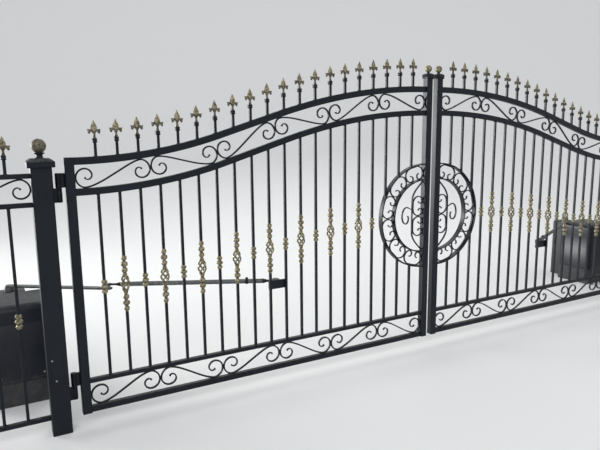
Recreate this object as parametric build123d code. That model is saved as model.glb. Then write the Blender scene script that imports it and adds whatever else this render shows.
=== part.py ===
from build123d import *
import os
from math import acos, asin, atan2, cos, degrees, pi, radians, sin, sqrt

# Wrought iron driveway gate: two leaves that meet under a raised crown, hung between two
# posts, with one bay of the matching fence and its end post beyond each post.
# Millimetres. X runs along the gate, Y into the drive, Z up. The origin is the middle of the
# left gate post's foot, at ground level. Everything is symmetric about the meeting line.

# Posts
post_width = 102.0
post_height = 1482.0
cap_width = 134.0
cap_skirt = 34.0
cap_rise = 12.0
cap_lap = 12.0
post_ball_radius = 37.0
post_neck_radius = 17.0
post_neck_height = 42.0
ball_collar_radius = 27.0
ball_collar_height = 8.0

# Leaf frame
picket_pitch = 114.3
leaf_gaps = 21
stile_width = 50.0
leaf_clearance = 75.0
hinge_gap = 62.0
meeting_gap = 46.0
rail_depth = 30.0
top_rail_height = 40.0
arch_rail_height = 38.0
lower_rail_height = 25.0
bottom_rail_height = 36.0
arch_band = 127.0
lower_band = 137.0
hinge_side_height = 1441.0
crown_rise = 428.0
hollow_radius = 2750.0
crown_radius = 4000.0
meeting_stile_height = 1925.0
stile_cap_width = 62.0
stile_cap_height = 30.0
stile_cap_rise = 6.0
stile_ball_radius = 25.0
stile_neck_radius = 10.0
stile_neck_height = 16.0

# Pickets and what stands on and in them
picket_width = 16.0
bead_radius = 20.0
bead_neck_radius = 11.0
bead_height = 28.0
bead_sides = 6
bead_count = 3
tall_ornament = 330.0
basket_height = 108.0
basket_radius = 29.0
basket_rod = 7.0
basket_turn = 150.0
basket_rods = 4
basket_facets = 3
stub_height = 72.0
collar_width = 25.0
collar_height = 25.0
spear_height = 95.0
spear_width = 68.0
spear_depth = 12.0
spear_neck_width = 14.0

# Scrolls, of flat bar
scroll_bar = 9.0
scroll_depth = 14.0
scrolls_per_leaf = 6
curl_sweep = 390.0
curl_facets = 11
curl_squeeze = 0.85
curl_tightness = 0.8
curl_power = 2.5

# Half rings on each meeting stile, and the scrollwork in them
ring_radius = 385.0
inner_ring_radius = 272.0
ring_height = 935.0
ring_bar = 9.0
ring_depth = 40.0
ring_facets = 26
ring_scroll_count = 6
ring_scroll_bar = 7.5
bow_reach = 97.0
bow_straight = 135.0
bow_end_height = 243.0
bow_scroll_width = 150.0
curl_distance = 148.0
curl_half_width = 45.0
curl_half_height = 72.0

# Hinges, on a barrel pin behind the leaf's back face
barrel_radius = 16.0
barrel_half_length = 78.0
hinge_running_gap = 0.4
hinge_strap_thickness = 12.0
upper_hinge_height = 1282.0
lower_hinge_height = 166.0

# Opener: a bracket on the leaf, a link, a crank and the drive behind the post
arm_height = 668.0
bracket_plate_height = 58.0
bracket_plate_drop = 16.0
bracket_plate_thickness = 8.0
bracket_picket = 10
arm_pivot_setback = 46.0
arm_tube_radius = 15.0
arm_eye_radius = 20.0
arm_eye_height = 10.0
arm_ear_thickness = 8.0
arm_pin_radius = 6.0
arm_bore_radius = 6.2
arm_tongue = 70.0
arm_gap = 0.8
arm_sweep_gap = 5.5
crank_length = 700.0
crank_slack = 6.0
crank_width = 44.0
crank_thickness = 12.0
crank_pin_radius = 9.0
drive_x = -181.0
drive_y = 927.0
drive_hub_radius = 30.0
drive_hub_gap = 0.5
drive_hub_height = 30.0
drive_cover_width = 400.0
drive_cover_depth = 380.0
drive_cover_right = 42.0
drive_cover_front = 442.0
drive_cover_corner = 45.0
drive_skirt_height = 150.0
drive_skirt_rim = 8.0
drive_case_width = 190.0
drive_case_reach = 75.0

# Fence bay beyond each gate post
fence_gaps = 10
fence_scrolls_per_bay = 3
fence_top_rail = 1440.0
fence_rail_height = 25.0
fence_rail_depth = 25.0
fence_band = 125.0
fence_bottom_rail_height = 30.0
fence_clearance = 75.0
fence_ornament_height = 665.0

# Small clearance left at a welded seat, so that two pieces never share metal
seat = 0.1
ring_seat = 0.5

# Places worked out from the sizes above
half_post = post_width / 2
cap_foot = post_height - cap_lap
hinge_heights = (upper_hinge_height, lower_hinge_height)
hinge_x = half_post + hinge_gap / 2
hinge_y = 17.0
stile_x = half_post + hinge_gap
inner_x = stile_x + stile_width
leaf_run = leaf_gaps * picket_pitch
meeting_x = inner_x + leaf_run
leaf_end_x = meeting_x + stile_width
centre_x = leaf_end_x + meeting_gap / 2
lower_rail_bottom = leaf_clearance + bottom_rail_height + lower_band
picket_foot = lower_rail_bottom + lower_rail_height
arch_low = leaf_clearance + hinge_side_height
picket_head_offset = top_rail_height + arch_band + arch_rail_height
ring_z = leaf_clearance + ring_height
crank_z = arm_height - arm_tube_radius - arm_sweep_gap - crank_thickness / 2

# The ogee that every upper rail follows: a hollow arc, a straight run and a crown arc, all
# tangent, that rise by crown_rise over the width between the stiles.
arc_sum = hollow_radius + crown_radius
straight_run = sqrt(leaf_run**2 + crown_rise**2 - 2 * arc_sum * crown_rise)
sine = (arc_sum * leaf_run - straight_run * (arc_sum - crown_rise)) / (arc_sum**2 + straight_run**2)
ogee_angle = asin(sine)


def ogee_height(x, offset):
    """Height of the ogee at x from the hinge stile, measured offset below its top edge."""
    low_radius = hollow_radius + offset
    high_radius = crown_radius - offset
    start = arch_low - offset
    first = low_radius * sin(ogee_angle)
    last = leaf_run - high_radius * sin(ogee_angle)
    if x <= first:
        return start + low_radius - sqrt(low_radius**2 - x**2)
    if x >= last:
        return start + crown_rise - high_radius + sqrt(high_radius**2 - (leaf_run - x) ** 2)
    knee = start + low_radius * (1 - cos(ogee_angle))
    return knee + (x - first) * sin(ogee_angle) / cos(ogee_angle)


def ogee_edges(offset):
    """The three edges of the ogee, offset below its top edge, from hinge to crown."""
    low = JernArc((inner_x, arch_low - offset), (1, 0), hollow_radius + offset, degrees(ogee_angle))
    slope = Vector(cos(ogee_angle), sin(ogee_angle))
    run = Line(low @ 1, Vector(*(low @ 1)) + slope * straight_run)
    high = JernArc(run @ 1, slope, crown_radius - offset, -degrees(ogee_angle))
    return [low, run, high]


def extruded(face, depth, y=0.0):
    """A face drawn in X and Z, given depth evenly about y."""
    standing = Plane.XZ * face
    return Pos(0, y + depth / 2, 0) * extrude(standing, amount=depth, dir=(0, -1, 0))


def outline(points):
    """A face inside a closed run of straight lines."""
    corners = [tuple(p) for p in points]
    return make_face(Polyline(*corners, close=True))


def ogee_rail(top, height):
    """A rail of constant height whose upper edge lies top below the ogee's top edge."""
    upper = ogee_edges(top)
    lower = ogee_edges(top + height)
    ends = [Line(upper[0] @ 0, lower[0] @ 0), Line(upper[2] @ 1, lower[2] @ 1)]
    return extruded(make_face(upper + lower + ends), rail_depth)


def bar(x0, x1, z0, z1, depth, y=0.0):
    """An upright rectangular bar."""
    return Pos((x0 + x1) / 2, y, (z0 + z1) / 2) * Box(x1 - x0, depth, z1 - z0)


def ribbon(points, thickness, depth):
    """Flat bar that follows points in X and Z, thickness wide in that plane."""
    left, right = [], []
    last = len(points) - 1
    for i, p in enumerate(points):
        before = points[max(i - 1, 0)]
        after = points[min(i + 1, last)]
        a = Vector(p[0] - before[0], p[1] - before[1])
        b = Vector(after[0] - p[0], after[1] - p[1])
        a = a.normalized() if a.length > 0 else b.normalized()
        b = b.normalized() if b.length > 0 else a
        middle = (a + b).normalized()
        reach = thickness / 2 / max(middle.dot(a), 0.5)
        left.append((p[0] - middle.Y * reach, p[1] + middle.X * reach))
        right.append((p[0] + middle.Y * reach, p[1] - middle.X * reach))
    return extruded(outline(left + right[::-1]), depth)


def curl(radius, start, sweep, facets):
    """Points of one curl about the origin, turning clockwise and tightening to its eye."""
    points = []
    for i in range(facets + 1):
        share = i / facets
        angle = radians(start - sweep * share)
        r = radius * (1 - curl_tightness * share**curl_power)
        points.append((r * cos(angle), r * sin(angle)))
    return points


def s_scroll(width, height):
    """Centre line of an S scroll: a curl at each end and a slanting bar between them."""
    radius = (height - scroll_bar) / 2
    reach = (width - scroll_bar) / 2 / curl_squeeze - radius
    start = 180 - degrees(acos(radius / reach))
    right = [((reach + x) * curl_squeeze, z) for x, z in curl(radius, start, curl_sweep, curl_facets)]
    return fitted(right, [(-x, -z) for x, z in right], width - scroll_bar, height - scroll_bar)


def fitted(right, left, width, height):
    """Two halves of a scroll as one line, stretched to the width and height it has to fill."""
    wide = max(x for x, _ in right)
    high = max(max(z for _, z in right), -min(z for _, z in right))
    return [(x * width / 2 / wide, z * height / 2 / high) for x, z in left[::-1] + right]


def c_scroll(width, height, thickness, sweep, facets):
    """Centre line of a C scroll that opens downwards, its back along the top."""
    radius = (height - thickness) / 2
    reach = (width - thickness) / 2 - radius
    right = [(reach + x, z) for x, z in curl(radius, 90, sweep, facets)]
    return fitted(right, [(-x, z) for x, z in right], width - thickness, height - thickness)


def ogee_band_point(along, across):
    """A point along the middle of the upper scroll band, moved across it upwards."""
    middle = top_rail_height + arch_band / 2
    low_radius = hollow_radius + middle
    high_radius = crown_radius - middle
    start_z = arch_low - middle
    low_length = low_radius * ogee_angle
    if along <= low_length:
        angle = along / low_radius
        r = low_radius - across
        return inner_x + r * sin(angle), start_z + low_radius - r * cos(angle)
    knee_x = low_radius * sin(ogee_angle)
    knee_z = start_z + low_radius * (1 - cos(ogee_angle))
    if along <= low_length + straight_run:
        step = along - low_length
        x = knee_x + step * cos(ogee_angle) - across * sin(ogee_angle)
        return inner_x + x, knee_z + step * sin(ogee_angle) + across * cos(ogee_angle)
    angle = ogee_angle - (along - low_length - straight_run) / high_radius
    r = high_radius + across
    top = start_z + crown_rise - high_radius
    return inner_x + leaf_run - r * sin(angle), top + r * cos(angle)


def ogee_band_length():
    """Length of the middle line of the upper scroll band."""
    return (hollow_radius + crown_radius) * ogee_angle + straight_run


def mirrored(shape):
    """The same piece on the other side of the meeting line."""
    return mirror(shape, about=Plane.YZ.offset(centre_x))


def bead(x, z):
    """One cast bead, its middle at z, thick in the middle and as thin as its neck at the ends."""
    half = bead_height / 2
    base = Plane.XY.offset(0) * RegularPolygon(bead_neck_radius, bead_sides)
    belly = Plane.XY.offset(half) * RegularPolygon(bead_radius, bead_sides)
    lower = loft([base, belly])
    upper = mirror(lower, about=Plane.XY.offset(half))
    return Pos(x, 0, z - half) * (lower + upper)


def bead_cluster(x, z, count):
    """Beads one above another about z, as one casting."""
    beads = [bead(x, z + (i - (count - 1) / 2) * bead_height) for i in range(count)]
    return beads[0].fuse(*beads[1:])


def rod(a, b, width):
    """A square rod from a to b."""
    way = b - a
    plane = Plane(origin=a, x_dir=(0, 0, 1) if abs(way.Z) < 0.9 * way.length else (1, 0, 0), z_dir=way)
    return extrude(plane * Rectangle(width, width), amount=way.length)


def basket(x, z):
    """Twisted bars that bow out between two heads, standing open, as one casting."""
    half = basket_height / 2
    pieces = []
    for k in range(basket_rods):
        points = []
        for i in range(basket_facets + 1):
            share = i / basket_facets
            bulge = basket_rod * 0.6 + (basket_radius - basket_rod) * sin(pi * share)
            angle = radians(360 * k / basket_rods + basket_turn * (share - 0.5))
            height = -half + basket_rod + (basket_height - 2 * basket_rod) * share
            points.append(Vector(bulge * cos(angle), bulge * sin(angle), height))
        for a, b in zip(points, points[1:]):
            pieces.append(rod(a, b, basket_rod))
    head = basket_rod * 1.6
    for end in (-1, 1):
        middle = end * (half - head / 2)
        plate = extrude(RegularPolygon(bead_neck_radius, bead_sides), head / 2, both=True)
        pieces.append(Pos(0, 0, middle) * plate)
    body = pieces[0].fuse(*pieces[1:])
    return Pos(x, 0, z) * body


def ring_half_chord(x):
    """Half the height of the outer ring at x, or nothing outside it."""
    out = meeting_x - x
    reach = ring_radius + ring_seat
    return sqrt(reach**2 - out**2) if out < reach else 0.0


def picket_centres():
    """Where the pickets of the left leaf stand."""
    return [inner_x + (k + 1) * picket_pitch for k in range(leaf_gaps - 1)]


def picket_head(x):
    """Heights of a picket's two upper corners, under the arch rail."""
    half = picket_width / 2
    return [ogee_height(x + side * half - inner_x, picket_head_offset) - seat for side in (-1, 1)]


def bar_with_slanted_ends(x, width, depth, low, high):
    """A bar about x whose lower and upper ends are cut along two slopes."""
    half = width / 2
    corners = [(x - half, low[0]), (x + half, low[1]), (x + half, high[1]), (x - half, high[0])]
    return extruded(outline(corners), depth)


def leaf_pickets():
    """Bars between the lower rail and the arch rail, and the stubs on the top rail."""
    pieces = []
    half = picket_width / 2
    for k, x in enumerate(picket_centres()):
        head = picket_head(x)
        foot = (picket_foot, picket_foot)
        middle = (picket_foot + sum(head) / 2) / 2
        edges = [ring_half_chord(x + side * half) for side in (-1, 1)]
        if max(edges) > 0:
            above = [ring_z + edge + seat for edge in edges]
            below = [ring_z - edge - seat for edge in edges]
        else:
            rise = ornament_length(k) / 2
            above = (middle + rise, middle + rise)
            below = (middle - rise, middle - rise)
        pieces.append(bar_with_slanted_ends(x, picket_width, picket_width, foot, below))
        pieces.append(bar_with_slanted_ends(x, picket_width, picket_width, above, head))
        rail = [ogee_height(x + side * half - inner_x, 0) + seat for side in (-1, 1)]
        top = stub_top(x)
        pieces.append(bar_with_slanted_ends(x, picket_width, picket_width, rail, (top, top)))
        pieces.append(bar(x - collar_width / 2, x + collar_width / 2, top, top + collar_height, collar_width))
    return pieces


def stub_top(x):
    """Height at which a stub on the top rail ends and its collar starts."""
    return ogee_height(x - inner_x, 0) + stub_height


def ornament_length(k):
    """Every second picket carries a tall ornament, the others a short one."""
    return tall_ornament if k % 2 else bead_count * bead_height


def leaf_ornaments():
    """Beads and baskets half way up the pickets that don't meet the ring."""
    pieces = []
    for k, x in enumerate(picket_centres()):
        if ring_half_chord(x + picket_width / 2) > 0:
            continue
        middle = (picket_foot + sum(picket_head(x)) / 2) / 2
        if k % 2 == 0:
            pieces.append(bead_cluster(x, middle, bead_count))
            continue
        pieces.append(basket(x, middle))
        shank = (tall_ornament - basket_height) / 2
        for end in (-1, 1):
            inside = middle + end * (basket_height / 2)
            outside = middle + end * (tall_ornament / 2)
            pieces.append(turned_shank(x, min(inside, outside), shank))
    return pieces


def turned_shank(x, z, length):
    """Beads on a shank, from a basket to the bar beyond it, as one casting."""
    free = (length - bead_count * bead_height) / 2
    neck = extrude(RegularPolygon(bead_neck_radius, bead_sides), length)
    pieces = [Pos(x, 0, z) * neck]
    for i in range(bead_count):
        pieces.append(bead(x, z + free + (i + 0.5) * bead_height))
    return pieces[0].fuse(*pieces[1:])


def spear(x, z):
    """A flat cast spear with a leaf point and two arms that curl down."""
    half = spear_width / 2
    neck = spear_neck_width / 2
    right = [
        (neck, 0),
        (neck, 0.26 * spear_height),
        (0.62 * half, 0.18 * spear_height),
        (half, 0.36 * spear_height),
        (0.42 * half, 0.40 * spear_height),
        (0.44 * half, 0.54 * spear_height),
    ]
    left = [(-px, pz) for px, pz in reversed(right)]
    points = right + [(0, spear_height)] + left
    return extruded(outline([(x + px, z + pz) for px, pz in points]), spear_depth)


def leaf_spears():
    """A spear on each stub of the top rail."""
    return [spear(x, stub_top(x) + collar_height) for x in picket_centres()]


def arch_scrolls():
    """S scrolls between the two upper rails, mirrored in turn and bent along the band."""
    length = ogee_band_length()
    width = length / scrolls_per_leaf
    centre_line = s_scroll(width - 2 * seat, arch_band - 2 * seat)
    pieces = []
    for i in range(scrolls_per_leaf):
        turn = 1 if i % 2 == 0 else -1
        middle = (i + 0.5) * width
        points = [ogee_band_point(middle + turn * x, z) for x, z in centre_line]
        pieces.append(ribbon(points, scroll_bar, scroll_depth))
    return pieces


def lower_scrolls():
    """S scrolls between the two bottom rails, mirrored in turn."""
    width = leaf_run / scrolls_per_leaf
    z = leaf_clearance + bottom_rail_height + lower_band / 2
    centre_line = s_scroll(width - 2 * seat, lower_band - 2 * seat)
    return flat_scrolls(inner_x, z, width, scrolls_per_leaf, centre_line)


def flat_scrolls(start, z, width, count, centre_line):
    """A level row of scrolls from start, mirrored in turn."""
    pieces = []
    for i in range(count):
        turn = 1 if i % 2 == 0 else -1
        middle = start + (i + 0.5) * width
        placed = [(middle + turn * px, z + pz) for px, pz in centre_line]
        pieces.append(ribbon(placed, scroll_bar, scroll_depth))
    return pieces


def stile_point(out, up):
    """A point by its distance from the meeting stile's inner face and from the rings' middle."""
    return meeting_x - out, ring_z + up


def half_ring(radius):
    """A band bent to half a ring, from the meeting stile and back to it."""
    points = []
    for r in (radius, radius - ring_bar):
        row = []
        for i in range(ring_facets + 1):
            angle = pi * (i / ring_facets - 0.5)
            row.append(stile_point(max(r * cos(angle), 0) + seat, r * sin(angle)))
        points += row if r == radius else row[::-1]
    return extruded(outline(points), ring_depth)


def ring_scrolls():
    """C scrolls between the two half rings, their backs to the outer one."""
    inner = inner_ring_radius + seat
    outer = (ring_radius - ring_bar) * cos(pi / ring_facets / 2) - seat
    middle = (inner + outer) / 2
    span = pi / ring_scroll_count
    centre_line = c_scroll(middle * span - 4 * seat, outer - inner, ring_scroll_bar, 300, 10)
    pieces = []
    for i in range(ring_scroll_count):
        around = pi / 2 - (i + 0.5) * span
        points = []
        for x, z in centre_line:
            angle = around + x / middle
            points.append(stile_point((middle + z) * cos(angle), (middle + z) * sin(angle)))
        pieces.append(ribbon(points, ring_scroll_bar, scroll_depth))
    return pieces


def ring_bow():
    """The bowed bar inside the inner ring, from the meeting stile and back to it."""
    end = ring_scroll_bar * 0.42 + seat
    upper = [(end, bow_end_height)]
    upper += [(0.62 * bow_reach, 0.76 * bow_end_height), (0.92 * bow_reach, 0.63 * bow_end_height)]
    upper.append((bow_reach, 0.8 * bow_straight))
    lower = [(out, -up) for out, up in reversed(upper)]
    return ribbon([stile_point(out, up) for out, up in upper + lower], ring_scroll_bar, scroll_depth)


def bow_scrolls():
    """Two C scrolls between the bow and the stile, and the open curl outside the bow."""
    height = bow_reach - ring_scroll_bar / 2 - 2 * seat
    centre_line = c_scroll(bow_scroll_width - 2 * seat, height, ring_scroll_bar, 290, 10)
    pieces = []
    for end in (-1, 1):
        points = []
        for x, z in centre_line:
            points.append(stile_point(height / 2 + seat + z, end * bow_scroll_width / 2 + x))
        pieces.append(ribbon(points, ring_scroll_bar, scroll_depth))
    points = [(bow_reach + ring_scroll_bar / 2 + seat, 0.72 * curl_half_height)]
    for i in range(12):
        share = i / 11
        angle = radians(118 - 310 * share)
        size = 1 - 0.72 * share**2
        out = curl_distance + curl_half_width * size * cos(angle)
        points.append((out, curl_half_height * size * sin(angle)))
    pieces.append(ribbon([stile_point(out, up) for out, up in points], ring_scroll_bar, scroll_depth))
    return pieces


def stile_cap():
    """Plate with a low crown on the meeting stile, and the neck under its ball."""
    x = meeting_x + stile_width / 2
    z = leaf_clearance + meeting_stile_height
    plate = Pos(x, 0, z + stile_cap_height / 2) * Box(stile_cap_width, stile_cap_width, stile_cap_height)
    base = Pos(x, 0, z + stile_cap_height) * Rectangle(stile_cap_width, stile_cap_width)
    crown = extrude(base, amount=stile_cap_rise, taper=65)
    neck_foot = z + stile_cap_height
    neck = Pos(x, 0, neck_foot + stile_neck_height / 2) * Cylinder(stile_neck_radius, stile_neck_height)
    return plate + crown + neck


def ball(x, z, radius, neck_top):
    """A ball with a flat where it sits on its neck."""
    sphere = Pos(x, 0, z) * Sphere(radius)
    return sphere - Pos(x, 0, neck_top - radius) * Box(2 * radius, 2 * radius, 2 * radius)


def stile_ball():
    """The ball on the meeting stile."""
    top = leaf_clearance + meeting_stile_height + stile_cap_height + stile_neck_height
    return ball(meeting_x + stile_width / 2, top + stile_ball_radius - 3, stile_ball_radius, top)


def post_cap(x):
    """Skirted cap on a post, with the turned collar under its ball."""
    skirt = Pos(x, 0, cap_foot + cap_skirt / 2) * Box(cap_width, cap_width, cap_skirt)
    pocket = Pos(x, 0, post_height - cap_lap) * Box(post_width, post_width, 2 * cap_lap)
    top = cap_foot + cap_skirt
    crown = extrude(Pos(x, 0, top) * Rectangle(cap_width, cap_width), amount=cap_rise, taper=60)
    neck = Pos(x, 0, top + post_neck_height / 2) * Cylinder(post_neck_radius, post_neck_height)
    collar_z = top + post_neck_height - ball_collar_height
    collar = Pos(x, 0, collar_z) * Cylinder(ball_collar_radius, ball_collar_height)
    return (skirt + crown + neck + collar) - pocket


def post_ball(x):
    """The ball on a post's cap."""
    top = cap_foot + cap_skirt + post_neck_height
    return ball(x, top + post_ball_radius - 3, post_ball_radius, top)


def hinge_half(z, on_leaf):
    """Half of a barrel hinge: the upper half with its strap on the leaf, the lower on the post."""
    length = barrel_half_length
    low = z + hinge_running_gap / 2 if on_leaf else z - hinge_running_gap / 2 - length
    barrel = Pos(hinge_x, hinge_y, low + length / 2) * Cylinder(barrel_radius, length)
    y = hinge_y - hinge_strap_thickness / 2
    if on_leaf:
        strap = bar(hinge_x, stile_x, low, low + length, hinge_strap_thickness, y)
    else:
        strap = bar(half_post, hinge_x, low, low + length, hinge_strap_thickness, y)
    return barrel + strap


def arm_pivot():
    """Plan position of the link's pin on the left leaf."""
    return inner_x + (bracket_picket + 0.5) * picket_pitch, arm_pivot_setback


def crank_end():
    """Plan position of the crank's outer pin with the gate shut, and the length of the link."""
    x, y = arm_pivot()
    distance = sqrt((x - drive_x) ** 2 + (y - drive_y) ** 2)
    link_length = distance - crank_length + crank_slack
    bend = acos((crank_length**2 + distance**2 - link_length**2) / (2 * crank_length * distance))
    angle = atan2(y - drive_y, x - drive_x) - bend
    return drive_x + crank_length * cos(angle), drive_y + crank_length * sin(angle), link_length


def arm_bracket():
    """Plate across two pickets with the ears that hold the link's pin."""
    x, y = arm_pivot()
    back = picket_width / 2 + bracket_plate_thickness
    wide = (picket_pitch + picket_width) / 2
    z0 = arm_height - bracket_plate_drop - bracket_plate_height / 2
    plate = bar(x - wide, x + wide, z0, z0 + bracket_plate_height, bracket_plate_thickness,
                back - bracket_plate_thickness / 2)
    pieces = [plate]
    rise = arm_eye_height / 2 + arm_gap + arm_ear_thickness / 2
    for end in (-1, 1):
        z = arm_height + end * rise
        pieces.append(Pos(x, y, z) * Cylinder(arm_eye_radius, arm_ear_thickness))
        tongue = Box(2 * arm_eye_radius, y - back, arm_ear_thickness)
        pieces.append(Pos(x, (back + y) / 2, z) * tongue)
    pieces.append(Pos(x, y, arm_height) * Cylinder(arm_pin_radius, 2 * rise))
    return pieces[0].fuse(*pieces[1:])


def link():
    """Level tube with a flat eye at each end, from the bracket's pin to over the crank's."""
    x, y = arm_pivot()
    end_x, end_y, length = crank_end()
    turn = degrees(atan2(end_y - y, end_x - x))
    pieces = []
    for end, inward in ((0, 1), (length, -1)):
        pieces.append(Pos(end, 0, 0) * Cylinder(arm_eye_radius, arm_eye_height))
        tongue = Box(arm_tongue, 1.5 * arm_tube_radius, arm_eye_height)
        pieces.append(Pos(end + inward * arm_tongue / 2, 0, 0) * tongue)
    tube = Rot(0, 90, 0) * Cylinder(arm_tube_radius, length - 1.8 * arm_tongue)
    pieces.append(Pos(length / 2, 0, 0) * tube)
    body = pieces[0].fuse(*pieces[1:]) - Cylinder(arm_bore_radius, 4 * arm_eye_height)
    return Pos(x, y, arm_height) * Rot(0, 0, turn) * body


def crank():
    """Flat bar on the drive's shaft, below the link, with the pin that the link's eye turns on."""
    end_x, end_y, _ = crank_end()
    turn = degrees(atan2(end_y - drive_y, end_x - drive_x))
    flat = Pos(crank_length / 2, 0, 0) * Box(crank_length, crank_width, crank_thickness)
    ends = [Pos(at, 0, 0) * Cylinder(crank_width / 2, crank_thickness) for at in (0, crank_length)]
    hub_top = -crank_thickness / 2
    hub = Pos(0, 0, hub_top - drive_hub_height / 2) * Cylinder(drive_hub_radius, drive_hub_height)
    pin_length = arm_height - arm_eye_height / 2 - arm_gap - crank_z - crank_thickness / 2
    pin = Pos(crank_length, 0, (crank_thickness + pin_length) / 2) * Cylinder(crank_pin_radius, pin_length)
    body = flat.fuse(*ends, hub, pin)
    return Pos(drive_x, drive_y, crank_z) * Rot(0, 0, turn) * body


def drive_housing():
    """Upright cover with rounded shoulders on a skirt, and the low case that carries the shaft."""
    top = crank_z - crank_thickness / 2 - arm_sweep_gap
    x = drive_cover_right - drive_cover_width / 2
    y = drive_cover_front + drive_cover_depth / 2
    height = top - drive_skirt_height
    box = Box(drive_cover_width, drive_cover_depth, height)
    shoulders = [edge for edge in box.edges() if edge.center().Z > height / 2 - 1]
    shoulders += box.edges().filter_by(Axis.Z)
    cover = Pos(x, y, drive_skirt_height + height / 2) * fillet(shoulders, drive_cover_corner)
    rim = 2 * drive_skirt_rim
    skirt = bar(x - drive_cover_width / 2 + drive_skirt_rim, drive_cover_right - drive_skirt_rim,
                0, drive_skirt_height, drive_cover_depth - rim, y)
    case_top = crank_z - crank_thickness / 2 - drive_hub_height - drive_hub_gap
    back = drive_y + drive_case_reach
    front = drive_cover_front + drive_cover_depth - drive_cover_corner
    case = bar(drive_x - drive_case_width / 2, drive_x + drive_case_width / 2, 0, case_top,
               back - front, (back + front) / 2)
    return cover.fuse(skirt, case)


def fence_rails():
    """Top rail, band rail and bottom rail of the left bay."""
    x1 = -half_post
    x0 = x1 - fence_gaps * picket_pitch
    band_top = fence_top_rail - fence_rail_height - fence_band
    tops = [fence_top_rail, band_top, fence_clearance + fence_bottom_rail_height]
    return [bar(x0, x1, top - fence_rail_height, top, fence_rail_depth) for top in tops]


def fence_centres():
    """Where the pickets of the left bay stand."""
    return [-half_post - (k + 1) * picket_pitch for k in range(fence_gaps - 1)]


def fence_pickets():
    """Bars of the bay, cut at their beads, and the stubs on its top rail."""
    pieces = []
    half = picket_width / 2
    foot = fence_clearance + fence_bottom_rail_height
    head = fence_top_rail - 2 * fence_rail_height - fence_band
    rise = bead_count * bead_height / 2
    for x in fence_centres():
        for low, high in ((foot, fence_ornament_height - rise), (fence_ornament_height + rise, head)):
            pieces.append(bar(x - half, x + half, low, high, picket_width))
        top = fence_top_rail + stub_height
        pieces.append(bar(x - half, x + half, fence_top_rail, top, picket_width))
        wide = collar_width / 2
        pieces.append(bar(x - wide, x + wide, top, top + collar_height, collar_width))
    return pieces


def fence_beads():
    """Beads on the bay's pickets."""
    pieces = []
    for x in fence_centres():
        pieces.append(bead_cluster(x, fence_ornament_height, bead_count))
    return pieces


def fence_spears():
    """Spears on the bay's stubs."""
    z = fence_top_rail + stub_height + collar_height
    return [spear(x, z) for x in fence_centres()]


def fence_scrolls():
    """S scrolls in the bay's upper band."""
    run = fence_gaps * picket_pitch
    width = run / fence_scrolls_per_bay
    z = fence_top_rail - fence_rail_height - fence_band / 2
    centre_line = s_scroll(width - 2 * seat, fence_band - 2 * seat)
    return flat_scrolls(-half_post - run, z, width, fence_scrolls_per_bay, centre_line)


def leaf_nodes():
    """Every piece of the left leaf by name."""
    stile_top = arch_low
    meeting_top = leaf_clearance + meeting_stile_height
    return {
        "hinge_stile": [bar(stile_x, inner_x, leaf_clearance, stile_top, stile_width)],
        "meeting_stile": [bar(meeting_x, leaf_end_x, leaf_clearance, meeting_top, stile_width)],
        "top_rail": [ogee_rail(0, top_rail_height)],
        "arch_rail": [ogee_rail(top_rail_height + arch_band, arch_rail_height)],
        "bottom_rails": [
            bar(inner_x, meeting_x, leaf_clearance, leaf_clearance + bottom_rail_height, rail_depth),
            bar(inner_x, meeting_x, lower_rail_bottom, picket_foot, rail_depth),
        ],
        "pickets": leaf_pickets(),
        "picket_ornaments": leaf_ornaments(),
        "finials": leaf_spears() + [stile_ball()],
        "arch_scrolls": arch_scrolls(),
        "bottom_scrolls": lower_scrolls(),
        "rings": [half_ring(ring_radius), half_ring(inner_ring_radius)],
        "ring_scrolls": ring_scrolls(),
        "bow_scrolls": [ring_bow()] + bow_scrolls(),
        "stile_cap": [stile_cap()],
        "hinge_barrels": [hinge_half(leaf_clearance + z, True) for z in hinge_heights],
        "arm_bracket": [arm_bracket()],
    }


def side_nodes():
    """Every fixed piece on the left of the opening by name."""
    end_x = -half_post - fence_gaps * picket_pitch - half_post
    return {
        "gate_post": [bar(-half_post, half_post, 0, post_height, post_width)],
        "end_post": [bar(end_x - half_post, end_x + half_post, 0, post_height, post_width)],
        "post_hinges": [hinge_half(leaf_clearance + z, False) for z in hinge_heights],
        "fence_rails": fence_rails(),
        "fence_pickets": fence_pickets(),
        "fence_beads": fence_beads(),
        "fence_spears": fence_spears(),
        "fence_scrolls": fence_scrolls(),
    }


def solids_of(shapes):
    """The plain solids in a list of shapes."""
    found = []
    for shape in shapes:
        found += list(shape.solids())
    return found


def save(name, shapes):
    """Write one node, all its solids together."""
    solids = solids_of(shapes)
    part = solids[0] if len(solids) == 1 else Compound(children=solids)
    part.label = name
    export_step(part, os.path.join("parts", name + ".step"))


def main():
    os.makedirs("parts", exist_ok=True)
    both_sides = dict(leaf_nodes())
    both_sides.update(side_nodes())
    both_sides["link"] = [link()]
    both_sides["crank"] = [crank()]
    both_sides["drive_housing"] = [drive_housing()]
    for name, shapes in both_sides.items():
        save("left_" + name, shapes)
        save("right_" + name, [mirrored(shape) for shape in shapes])
    end_x = -half_post - fence_gaps * picket_pitch - half_post
    caps = [post_cap(0), post_cap(end_x)]
    balls = [post_ball(0), post_ball(end_x)]
    save("post_caps", caps + [mirrored(cap) for cap in caps])
    save("post_balls", balls + [mirrored(piece) for piece in balls])


main()
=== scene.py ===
import bpy
from math import acos, asin, atan2, cos, degrees, pi, radians, sin, sqrt
from mathutils import Matrix, Vector


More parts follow.
